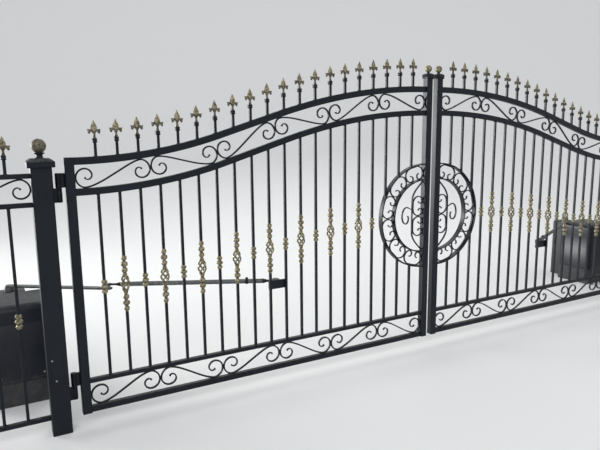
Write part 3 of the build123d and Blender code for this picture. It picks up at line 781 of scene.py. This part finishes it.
def spear(gold, dark, x, z):
    """Cast spear: a broad ridged leaf point over a band, a wing with a barb on each side."""
    # The band, wings and barbs take the darker copy of the gold: painted shade.
    dark.lathe((x, 0, z), [(0.0085, 0), (0.0095, 0.004), (0.0070, 0.010), (0.0068, 0.024), (0.0110, 0.027),
                           (0.0115, 0.031), (0.0075, 0.035)], 14)
    blade = [(0.0060, 0.026), (0.0085, 0.034), (0.0100, 0.041), (0.0150, 0.048), (0.0172, 0.055),
             (0.0150, 0.064), (0.0095, 0.075), (0.0042, 0.086), (0.0004, SPEAR)]
    edge = 0.0010
    rows = []
    for w, h in blade:
        thick = 0.0059 * min(1.0, w / 0.009)
        front = [(-w, -edge), (-0.35 * w, -0.7 * thick), (0.0, -thick), (0.35 * w, -0.7 * thick), (w, -edge)]
        rows.append([(x + a, o, z + h) for a, o in front] + [(x - a, -o, z + h) for a, o in front])
    gold.rings(rows)
    wing = [(0.002, 0.036), (0.009, 0.0395), (0.016, 0.0410), (0.022, 0.0405), (0.028, 0.0420),
            (0.0345, 0.0465)]
    barb = [(0.0215, 0.0400), (0.0250, 0.0345), (0.0262, 0.0290), (0.0250, 0.0235)]
    arms = ((wing, [1.1, 1.35, 1.55, 1.55, 1.25, 0.40]), (barb, [1.3, 1.65, 1.45, 0.55]))
    for side in (-1, 1):
        for line, fullness in arms:
            path = [(x + side * a, 0, z + b) for a, b in line]
            dark.sweep(path, oval(0.0050, 0.0048), [ALONG_Y] * len(path), fullness)


def smooth_ball(mesh, x, foot, radius):
    """A ball with a small flat where it sits on its neck."""
    flat = 0.003
    profile = [(sqrt(radius**2 - (radius - flat) ** 2), flat - radius)]
    for i in range(3, 24):
        profile.append((radius * sin(pi * i / 24), -radius * cos(pi * i / 24)))
    profile.append((0.0004, radius))
    mesh.lathe((x, 0, foot + radius - flat), profile, 32)


# The leaf's frame and bars

def stiles(mesh):
    """Hinge stile and meeting stile, square tube."""
    mesh.upright(INNER_X - STILE / 2, CLEARANCE, ARCH_LOW, STILE, TUBE_EASE)
    mesh.upright(MEETING_X + STILE / 2, CLEARANCE, STILE_TOP, STILE, TUBE_EASE)


def bent_rails(mesh):
    """Top rail and arch rail, bent along the ogee between the stiles."""
    steps = 72
    for offset, height in ((0.0, TOP_RAIL), (TOP_RAIL + ARCH_BAND, ARCH_RAIL)):
        rows = []
        for i in range(steps + 1):
            x = RUN * i / steps
            top, low = ogee_height(x, offset), ogee_height(x, offset + height)
            section = bar_section(RAIL_DEPTH, top - low, RAIL_EASE)
            rows.append([(INNER_X + x, y, (top + low) / 2 + z) for y, z in section])
        mesh.rings(rows)


def straight_rails(mesh):
    """The two bottom rails."""
    deep = RAIL_DEPTH / 2
    for foot, height in ((CLEARANCE, BOTTOM_RAIL), (CLEARANCE + BOTTOM_RAIL + LOWER_BAND, LOWER_RAIL)):
        mesh.box((INNER_X, -deep, foot), (MEETING_X, deep, foot + height), RAIL_EASE)


def picket_middle(x):
    """Half way up a picket, where its ornament sits."""
    head = (under_arch(x - PICKET / 2) + under_arch(x + PICKET / 2)) / 2
    return (PICKET_FOOT + head) / 2


def leaf_bars(mesh):
    """Pickets between the rails, cut at their ornaments or at the ring, and the stubs with their collars."""
    for k, x in enumerate(PICKET_XS):
        if meets_ring(x):
            parts = ((PICKET_FOOT, ring_low), (ring_high, under_arch))
        else:
            middle = picket_middle(x)
            rise = TALL / 2 if k % 2 else 1.5 * BEAD
            parts = ((PICKET_FOOT, middle - rise), (middle + rise, under_arch))
        for low, high in parts:
            mesh.upright(x, low, high, PICKET)
        mesh.weld(x, PICKET_FOOT)
        mesh.weld(x, under_arch, -1)
        mesh.upright(x, on_rail, on_rail(x) + STUB, PICKET)
        mesh.weld(x, on_rail)
        collar(mesh, x, on_rail(x) + STUB)


def collar(mesh, x, z):
    """The square collar between a stub and its spear, waisted and chamfered."""
    levels = ((0.74, 0.0), (1.0, 0.0035), (1.0, 0.0085), (0.86, 0.0115), (0.86, 0.0140), (1.0, 0.0170),
              (1.0, 0.0215), (0.70, COLLAR))
    mesh.squares(x, [(COLLAR_HALF * k, z + h) for k, h in levels], 0.0016)


def leaf_ornaments(gold, dark):
    """Knuckles and tall ornaments in turn, but none where the ring stands."""
    for k, x in enumerate(PICKET_XS):
        if not meets_ring(x):
            cast = tall_ornament if k % 2 else knuckle
            cast(gold, dark, x, picket_middle(x))


def leaf_finials(gold, dark):
    """Spears on the pickets' collars, and the ball on the meeting stile."""
    for x in PICKET_XS:
        spear(gold, dark, x, on_rail(x) + STUB + COLLAR)
    smooth_ball(gold, MEETING_X + STILE / 2, STILE_BALL_FOOT, STILE_BALL_R)


def stile_head(mesh):
    """Cap plate with a low crown on the meeting stile, and the neck under its ball."""
    x = MEETING_X + STILE / 2
    levels = ((0.0285, 0.0), (0.031, 0.0025), (0.031, STILE_CAP - 0.003), (0.0285, STILE_CAP),
              (0.018, STILE_CAP + 0.006))
    mesh.squares(x, [(half, STILE_TOP + h) for half, h in levels], 0.0025)
    mesh.lathe((x, 0, STILE_TOP + STILE_CAP), [(0.015, 0.004), (0.0135, 0.008), (0.010, 0.011),
                                               (0.0095, 0.014), (0.011, 0.0165), (0.011, 0.018)])


def hinge_half(mesh, z, upper):
    """Half of a barrel hinge: turned barrel with eased ends, and its strap with a weld on each side."""
    profile = [(0.0125, 0), (BARREL_R - 0.0016, 0.0004), (BARREL_R, 0.002), (BARREL_R, 0.016),
               (BARREL_R - 0.0008, 0.017), (BARREL_R - 0.0008, 0.0185), (BARREL_R, 0.0195),
               (BARREL_R, BARREL_HALF - 0.004), (BARREL_R - 0.0012, BARREL_HALF - 0.0012),
               (BARREL_R - 0.0045, BARREL_HALF)]
    if upper:
        foot, left, right = z + HINGE_SLACK, HINGE_X, INNER_X - STILE
        mesh.lathe((HINGE_X, HINGE_Y, foot), profile, 24)
        seam = right - STRAP_WELD_R
    else:
        foot, left, right = z - HINGE_SLACK - BARREL_HALF, HALF_POST, HINGE_X
        mesh.lathe((HINGE_X, HINGE_Y, z - HINGE_SLACK), turned_over(profile), 24)
        seam = left + STRAP_WELD_R
    mesh.box((left, HINGE_Y - STRAP, foot + 0.0005), (right, HINGE_Y, foot + BARREL_HALF - 0.0005), 0.0012)
    steps = 14
    ripples = [0.8 + 0.35 * (i % 2) for i in range(steps + 1)]
    for y in (HINGE_Y - STRAP, HINGE_Y):
        path = [(seam, y, foot + 0.004 + (BARREL_HALF - 0.008) * i / steps) for i in range(steps + 1)]
        mesh.sweep(path, oval(STRAP_WELD_R, STRAP_WELD_R), [ALONG_Y] * len(path), ripples)


def leaf_hinges(mesh):
    """The halves of both hinges that turn with the leaf."""
    for z in HINGES:
        hinge_half(mesh, z, True)


def post_hinges(mesh):
    """The halves of both hinges that stay on the post."""
    for z in HINGES:
        hinge_half(mesh, z, False)


# The opener

def bracket(mesh):
    """Plate across the backs of two pickets, and the two ears for the link's pin."""
    wide = (PITCH + PICKET) / 2
    middle = ARM_Z - PLATE_DROP
    mesh.box((ARM_X - wide, PICKET / 2, middle - PLATE_HALF),
             (ARM_X + wide, PLATE_BACK, middle + PLATE_HALF), 0.0015)
    outline = [(EYE_R * cos(pi * j / 10), EYE_R * sin(pi * j / 10)) for j in range(11)]
    outline += [(-EYE_R, PLATE_BACK - ARM_Y), (EYE_R, PLATE_BACK - ARM_Y)]
    for z in (ARM_Z - EAR_GAP - EAR, ARM_Z + EAR_GAP):
        rows = []
        for k, h in ((0.95, 0.0), (1.0, 0.0012), (1.0, EAR - 0.0012), (0.95, EAR)):
            rows.append([(ARM_X + a * k, ARM_Y + (b * k if b > 0 else b), z + h) for a, b in outline])
        mesh.rings(rows)


def bracket_bolts(mesh):
    """Two bolt heads behind each picket, and the link's pin with its head and nut."""
    for side in (-1, 1):
        for z in (ARM_Z - 0.034, ARM_Z + 0.002):
            mesh.head(ARM_X + side * PITCH / 2, PLATE_BACK, z, 0.0075,
                      [(0.9, 0.0), (1.0, 0.0008), (1.0, 0.0042), (0.85, 0.0052)], 6)
    mesh.lathe((ARM_X, ARM_Y, ARM_Z - 0.006), [(0.006, 0), (0.006, 0.012)], 16)
    for z in (ARM_Z + EAR_GAP + EAR, ARM_Z - EAR_GAP - EAR - NUT):
        mesh.hexagon((ARM_X, ARM_Y, z), NUT_ACROSS, NUT)


def link_skin(mesh, stations):
    """The link's tube, flattened towards an eye: stations are (place along it, how round)."""
    local = Mesh()
    rows = []
    for s, k in stations:
        row = []
        for across, up in oval(1.0, 1.0, 20):
            flat_y = TONGUE_HALF * max(-1.0, min(1.0, 1.35 * across))
            flat_z = EYE_HALF * max(-1.0, min(1.0, 1.35 * up))
            row.append((s, flat_y * (1 - k) + ARM_R * k * across, ARM_Z + flat_z * (1 - k) + ARM_R * k * up))
        rows.append(row)
    local.rings(rows)
    mesh.place(local, ARM_X, ARM_Y, LINK_TURN)


def link_tube(mesh):
    """The round part of the link."""
    link_skin(mesh, [(s, 1.0) for s in (TUBE_FROM, LINK / 3, LINK * 2 / 3, LINK - TUBE_FROM)])


def link_ends(mesh):
    """The eyes of the link, their tongues and the clamp round the tube with its screw."""
    tongue = [(0.010, 0.0), (0.045, 0.0), (0.058, 0.35), (0.070, 0.8), (0.080, 1.0), (0.086, 1.0)]
    link_skin(mesh, tongue)
    link_skin(mesh, [(LINK - s, k) for s, k in reversed(tongue)])
    local = Mesh()
    eye = [(EYE_R - 0.001, -EYE_HALF), (EYE_R, 0.001 - EYE_HALF), (EYE_R, EYE_HALF - 0.001),
           (EYE_R - 0.001, EYE_HALF)]
    for end in (0.0, LINK):
        local.lathe((end, 0, ARM_Z), eye, 24)
    rows = []
    for r, s in ((0.0155, 0.0), (0.0185, 0.001), (0.0185, 0.019), (0.0155, 0.020)):
        rows.append([(CLAMP_AT + s, y, ARM_Z + z) for y, z in oval(r, r, 20)])
    local.rings(rows)
    local.box((CLAMP_AT + 0.002, -0.005, ARM_Z + 0.016), (CLAMP_AT + 0.018, 0.005, ARM_Z + 0.026), 0.001)
    mesh.place(local, ARM_X, ARM_Y, LINK_TURN)


def crank_bar(mesh):
    """Flat bar with round ends, and its hub below."""
    local = Mesh()
    turns = [pi * (j / 12 - 0.5) for j in range(13)]
    outline = [(CRANK + CRANK_END_R * cos(a), CRANK_END_R * sin(a)) for a in turns]
    outline += [(CRANK - x, -y) for x, y in outline]
    rows = []
    ease = 0.0015
    flat = CRANK_HALF - ease
    for inset, h in ((ease, -CRANK_HALF), (0.0, -flat), (0.0, flat), (ease, CRANK_HALF)):
        row = []
        for x, y in outline:
            middle = min(max(x, 0.0), CRANK)
            out = Vector((x - middle, y))
            out = out * ((out.length - inset) / out.length)
            row.append((middle + out.x, out.y, CRANK_Z + h))
        rows.append(row)
    local.rings(rows)
    local.lathe((0, 0, HUB_FOOT), [(HUB_R - 0.001, 0), (HUB_R, 0.001), (HUB_R, HUB - 0.006),
                                   (HUB_R - 0.003, HUB)], 28)
    mesh.place(local, DRIVE_X, DRIVE_Y, CRANK_TURN)


def crank_pin(mesh):
    """The pin that the link's eye turns on."""
    local = Mesh()
    foot = CRANK_Z + CRANK_HALF
    height = ARM_Z - EYE_HALF - PIN_GAP - foot
    local.lathe((CRANK, 0, foot), [(CRANK_PIN_R, 0), (CRANK_PIN_R, height - 0.0008),
                                   (CRANK_PIN_R - 0.0008, height)])
    mesh.place(local, DRIVE_X, DRIVE_Y, CRANK_TURN)


def rounded_loop(x0, x1, y0, y1, corner, z):
    """A rectangle with round corners, counter-clockwise from above."""
    loop = []
    for cx, cy, start in ((x1 - corner, y1 - corner, 0), (x0 + corner, y1 - corner, 90),
                          (x0 + corner, y0 + corner, 180), (x1 - corner, y0 + corner, 270)):
        for j in range(7):
            a = radians(start + 15 * j)
            loop.append((cx + corner * cos(a), cy + corner * sin(a), z))
    return loop


def drive_cover(mesh):
    """Moulded cover with a parting groove under its lid and a lip at its lower edge."""
    (x0, x1), (y0, y1), (z0, z1) = COVER
    r = COVER_CORNER
    seam = z1 - 0.112
    levels = [(0.004, z0), (0.0, z0 + 0.003), (0.0, z0 + 0.014), (0.003, z0 + 0.017), (0.003, seam - 0.006),
              (0.0055, seam - 0.003), (0.0055, seam), (0.0, seam + 0.003)]
    for i in range(11):
        a = radians(9 * i)
        levels.append((r * (1 - cos(a)), z1 - r + r * sin(a)))
    rows = []
    for inset, z in levels:
        corner = max(r - inset * 0.85, 0.006)
        rows.append(rounded_loop(x0 + inset, x1 - inset, y0 + inset, y1 - inset, corner, z))
    mesh.rings(rows)


def drive_case(mesh):
    """Skirt under the cover and the low case behind it that carries the shaft."""
    (x0, x1), (y0, y1), (z0, _) = COVER
    rim = 0.008
    mesh.rings([rounded_loop(x0 + rim, x1 - rim, y0 + rim, y1 - rim, 0.012, z) for z in (0.0, z0)])
    top = HUB_FOOT - HUB_GAP
    half, front, back = 0.095, y1 - 0.045, DRIVE_Y + 0.075
    rows = []
    for inset, z in ((0.0, 0.0), (0.0, top - 0.012), (0.0035, top - 0.0035), (0.012, top)):
        reach = half - inset
        rows.append(rounded_loop(DRIVE_X - reach, DRIVE_X + reach, front, back - inset, 0.014, z))
    mesh.rings(rows)


def drive_screws(mesh):
    """The two screws that hold the cover down at its front."""
    (x0, x1), (y0, _), (z0, _) = COVER
    for x in (x0 + 0.08, x1 - 0.08):
        mesh.head(x, y0 + 0.003, z0 + 0.040, 0.006, [(1.0, 0.0), (1.0, 0.0012), (0.7, 0.0030)], facing=-1)


# The fence bay and the posts

def posts(mesh):
    """Gate post and end post, square tube."""
    for x in (0.0, END_POST_X):
        mesh.upright(x, 0.0, POST_TOP, 2 * HALF_POST, 0.005)


def fence_rails(mesh):
    """The three rails between the two posts."""
    deep = FENCE_RAIL / 2
    for top in (FENCE_TOP, FENCE_TOP - FENCE_RAIL - FENCE_BAND, FENCE_FOOT):
        mesh.box((FENCE_START, -deep, top - FENCE_RAIL), (-HALF_POST, deep, top), 0.002)


def fence_bars(mesh):
    """Pickets, cut at their knuckles, and the stubs with their collars."""
    head = FENCE_TOP - 2 * FENCE_RAIL - FENCE_BAND
    for x in FENCE_XS:
        mesh.upright(x, FENCE_FOOT, FENCE_BEAD_Z - 1.5 * BEAD, PICKET)
        mesh.upright(x, FENCE_BEAD_Z + 1.5 * BEAD, head, PICKET)
        mesh.upright(x, FENCE_TOP, FENCE_TOP + STUB, PICKET)
        mesh.weld(x, FENCE_FOOT)
        mesh.weld(x, head, -1)
        mesh.weld(x, FENCE_TOP)
        collar(mesh, x, FENCE_TOP + STUB)


def fence_knuckles(gold, dark):
    """A knuckle on every picket, all at one height."""
    for x in FENCE_XS:
        knuckle(gold, dark, x, FENCE_BEAD_Z)


def fence_spears(gold, dark):
    """A spear on every picket's collar."""
    for x in FENCE_XS:
        spear(gold, dark, x, FENCE_TOP + STUB + COLLAR)


def post_head(mesh, x):
    """Skirted cap with eased edges and a low crown, and the turned neck and collar under the ball."""
    top = CAP_FOOT + CAP_SKIRT
    mesh.squares(x, ((CAP_HALF - 0.003, CAP_FOOT), (CAP_HALF, CAP_FOOT + 0.003), (CAP_HALF, top - 0.004),
                     (CAP_HALF - 0.004, top - 0.0005), (CAP_HALF - 0.0208, top + CAP_RISE)), 0.004)
    mesh.lathe((x, 0, top), [(0.024, 0.010), (0.0225, 0.014), (0.0175, 0.018), (0.0165, 0.024),
                             (0.0165, 0.031), (0.020, 0.034), (0.0265, 0.0355), (0.027, 0.038),
                             (0.0265, 0.041), (0.022, CAP_NECK)], 32)


def post_tops():
    """Caps and balls of the four posts."""
    places = [0.0, END_POST_X, 2 * CENTRE_X, 2 * CENTRE_X - END_POST_X]
    caps, balls = Mesh(), Mesh()
    for x in places:
        post_head(caps, x)
        smooth_ball(balls, x, POST_BALL_FOOT, POST_BALL_R)
    caps.make("turned_post_caps", BLACK, FIXED, ["post_caps"])
    # The balls take the darker copy of the gold: painted shade.
    balls.make("smooth_post_balls", SHADED_GOLD, FIXED, ["post_balls"])


def cover_plate():
    """The plate low on the left gate post, with its two screws."""
    plate, screws = Mesh(), Mesh()
    (left, right), (low, high) = COVER_PLATE_XS, COVER_PLATE_ZS
    plate.box((left, -HALF_POST - 0.004, low), (right, -HALF_POST + 0.001, high), 0.0015)
    for x, z in PLATE_SCREWS:
        screws.head(x, -HALF_POST, z, 0.005, [(1.0, 0.004), (1.0, 0.0055), (0.6, 0.0075)], facing=-1)
    plate.make("post_cover_plate", BLACK, FIXED)
    screws.make("post_plate_screws", STEEL, FIXED)


# The pieces of each side

def pieces(side, body, draw, *rows):
    """Draws and makes one or two pieces: each row is a name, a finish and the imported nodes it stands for."""
    meshes = [Mesh() for _ in rows]
    draw(*meshes)
    for mesh, (name, material, *nodes) in zip(meshes, rows):
        stands_for = [f"{side}_{node}" for node in nodes]
        mesh.make(f"{side}_{name}", material, body, stands_for, turned=side == "right")


def leaf_side(side):
    """One leaf, with the link and the crank that move it."""
    leaf, link, crank = f"{side}_leaf", f"{side}_link", f"{side}_crank"
    pieces(side, leaf, stiles, ("stile_tubes", BLACK, "hinge_stile", "meeting_stile"))
    pieces(side, leaf, bent_rails, ("bent_rails", BLACK, "top_rail", "arch_rail"))
    pieces(side, leaf, straight_rails, ("straight_rails", BLACK, "bottom_rails"))
    pieces(side, leaf, leaf_bars, ("picket_bars", BLACK, "pickets"))
    pieces(side, leaf, stile_head, ("stile_head", BLACK, "stile_cap"))
    pieces(side, leaf, leaf_hinges, ("upper_hinge_halves", BLACK, "hinge_barrels"))
    pieces(side, leaf, bracket, ("arm_bracket_plate", BLACK, "arm_bracket"))
    pieces(side, leaf, bracket_bolts, ("bracket_bolts", STEEL))
    pieces(side, link, link_tube, ("link_tube", ZINC, "link"))
    pieces(side, link, link_ends, ("link_ends", BLACK))
    pieces(side, crank, crank_bar, ("crank_bar", ZINC, "crank"))
    pieces(side, crank, crank_pin, ("crank_pin", STEEL))
    pieces(side, leaf, arch_scrolls, ("upper_band_scrollwork", BLACK, "arch_scrolls"))
    pieces(side, leaf, bottom_scrolls, ("lower_band_scrollwork", BLACK, "bottom_scrolls"))
    pieces(side, leaf, leaf_ornaments, ("cast_picket_ornaments", GOLD, "picket_ornaments"),
           ("ornament_shanks", SHADED_GOLD))
    pieces(side, leaf, leaf_finials, ("spearheads_and_ball", GOLD, "finials"), ("spear_arms", SHADED_GOLD))
    pieces(side, leaf, half_rings, ("bent_half_rings", BLACK, "rings"))
    pieces(side, leaf, ring_scrolls, ("ring_c_scrolls", BLACK, "ring_scrolls"))
    pieces(side, leaf, bow_scrolls, ("bow_and_curls", BLACK, "bow_scrolls"))


def fence_side(side):
    """Gate post, fence bay and end post, and the opener's housing behind them."""
    pieces(side, FIXED, posts, ("post_tubes", BLACK, "gate_post", "end_post"))
    pieces(side, FIXED, fence_rails, ("fence_rail_bars", BLACK, "fence_rails"))
    pieces(side, FIXED, fence_bars, ("fence_bars", BLACK, "fence_pickets"))
    pieces(side, FIXED, post_hinges, ("lower_hinge_halves", BLACK, "post_hinges"))
    pieces(side, FIXED, drive_cover, ("drive_cover", DRIVE_BODY, "drive_housing"))
    pieces(side, FIXED, drive_case, ("drive_case", DRIVE_CASE))
    pieces(side, FIXED, drive_screws, ("drive_screws", STEEL))
    pieces(side, FIXED, fence_scrolls, ("fence_scrollwork", BLACK, "fence_scrolls"))
    pieces(side, FIXED, fence_knuckles, ("fence_knuckles", GOLD, "fence_beads"),
           ("fence_knuckle_shanks", SHADED_GOLD))
    pieces(side, FIXED, fence_spears, ("fence_spearheads", GOLD, "fence_spears"),
           ("fence_spear_arms", SHADED_GOLD))


for side in ("left", "right"):
    leaf_side(side)
    fence_side(side)
post_tops()
cover_plate()

# Floor, light and camera

BACKDROP_TURN = -0.50
BACKDROP_NEAR = -40.0
BACKDROP_AWAY = 17.0
BACKDROP_CURVE = 9.0
BACKDROP_TOP = 40.0
BACKDROP_HALF = 70.0
LENS = 34.29
SENSOR = 36.0
CAMERA_PLACE = (-0.2475, -3.2487, 1.6454)
YAW, PITCH_UP, ROLL = 0.5003, -0.1644, -0.0107


def backdrop():
    """A pale floor that rises far behind the gate in one wide curve, square to the camera."""
    line = [(BACKDROP_NEAR, 0.0), (BACKDROP_AWAY - BACKDROP_CURVE, 0.0)]
    for i in range(1, 25):
        a = pi / 2 * i / 24
        line.append((BACKDROP_AWAY - BACKDROP_CURVE * (1 - sin(a)), BACKDROP_CURVE * (1 - cos(a))))
    line.append((BACKDROP_AWAY, BACKDROP_TOP))
    c, n = cos(BACKDROP_TURN), sin(BACKDROP_TURN)
    points = [(x * c - y * n, x * n + y * c, z) for y, z in line for x in (-BACKDROP_HALF, BACKDROP_HALF)]
    faces = [(i, i + 1, i + 3, i + 2) for i in range(0, len(points) - 2, 2)]
    data = bpy.data.meshes.new("floor")
    data.from_pydata(points, [], faces)
    for polygon in data.polygons:
        polygon.use_smooth = True
    return data


def plain_floor():
    """The floor's pale, dull finish."""
    material = bpy.data.materials.new("plain_floor")
    material.use_nodes = True
    shader = material.node_tree.nodes["Principled BSDF"]
    shader.inputs["Base Color"].default_value = (0.80, 0.80, 0.79, 1)
    shader.inputs["Roughness"].default_value = 0.9
    return material


def soft_light(name, place, target, size, power, spread=180):
    """A rectangular lamp aimed at a target; spread is the angle in degrees that it lights."""
    data = bpy.data.lights.new(name, "AREA")
    data.shape = "RECTANGLE"
    data.size, data.size_y = size
    data.energy = power
    data.spread = radians(spread)
    lamp = bpy.data.objects.new(name, data)
    lamp.location = place
    lamp.rotation_euler = (Vector(target) - Vector(place)).to_track_quat("-Z", "Y").to_euler()
    bpy.context.scene.collection.objects.link(lamp)


def eye_level_camera():
    """The camera at the photograph's place and angle."""
    data = bpy.data.cameras.new("camera")
    data.lens = LENS
    data.sensor_width = SENSOR
    camera = bpy.data.objects.new("camera", data)
    bpy.context.scene.collection.objects.link(camera)
    ahead = Vector((sin(YAW) * cos(PITCH_UP), cos(YAW) * cos(PITCH_UP), sin(PITCH_UP)))
    level = Vector((cos(YAW), -sin(YAW), 0))
    right = level * cos(ROLL) + level.cross(ahead) * sin(ROLL)
    camera.location = CAMERA_PLACE
    camera.rotation_euler = Matrix((right, right.cross(ahead), -ahead)).transposed().to_euler()
    return camera


floor = bpy.data.objects.new("floor", backdrop())
bpy.context.scene.collection.objects.link(floor)
floor.data.materials.append(plain_floor())

world = bpy.data.worlds.new("studio")
bpy.context.scene.world = world
world.use_nodes = True
world.node_tree.nodes["Background"].inputs["Color"].default_value = (0.90, 0.92, 0.95, 1)
world.node_tree.nodes["Background"].inputs["Strength"].default_value = 0.85

soft_light("key_light", (-4.4, 6.8, 1.9), (3.0, 0.0, 1.9), (4.5, 2.6), 150, spread=64)
soft_light("front_light", (-3.0, -7.0, 6.5), (2.6, 0.0, 1.0), (6.0, 4.0), 260)
soft_light("back_light", (5.0, 7.5, 6.0), (2.6, 0.0, 1.2), (7.0, 3.0), 220)

bpy.context.scene.camera = eye_level_camera()
bpy.context.scene.view_settings.view_transform = "Standard"
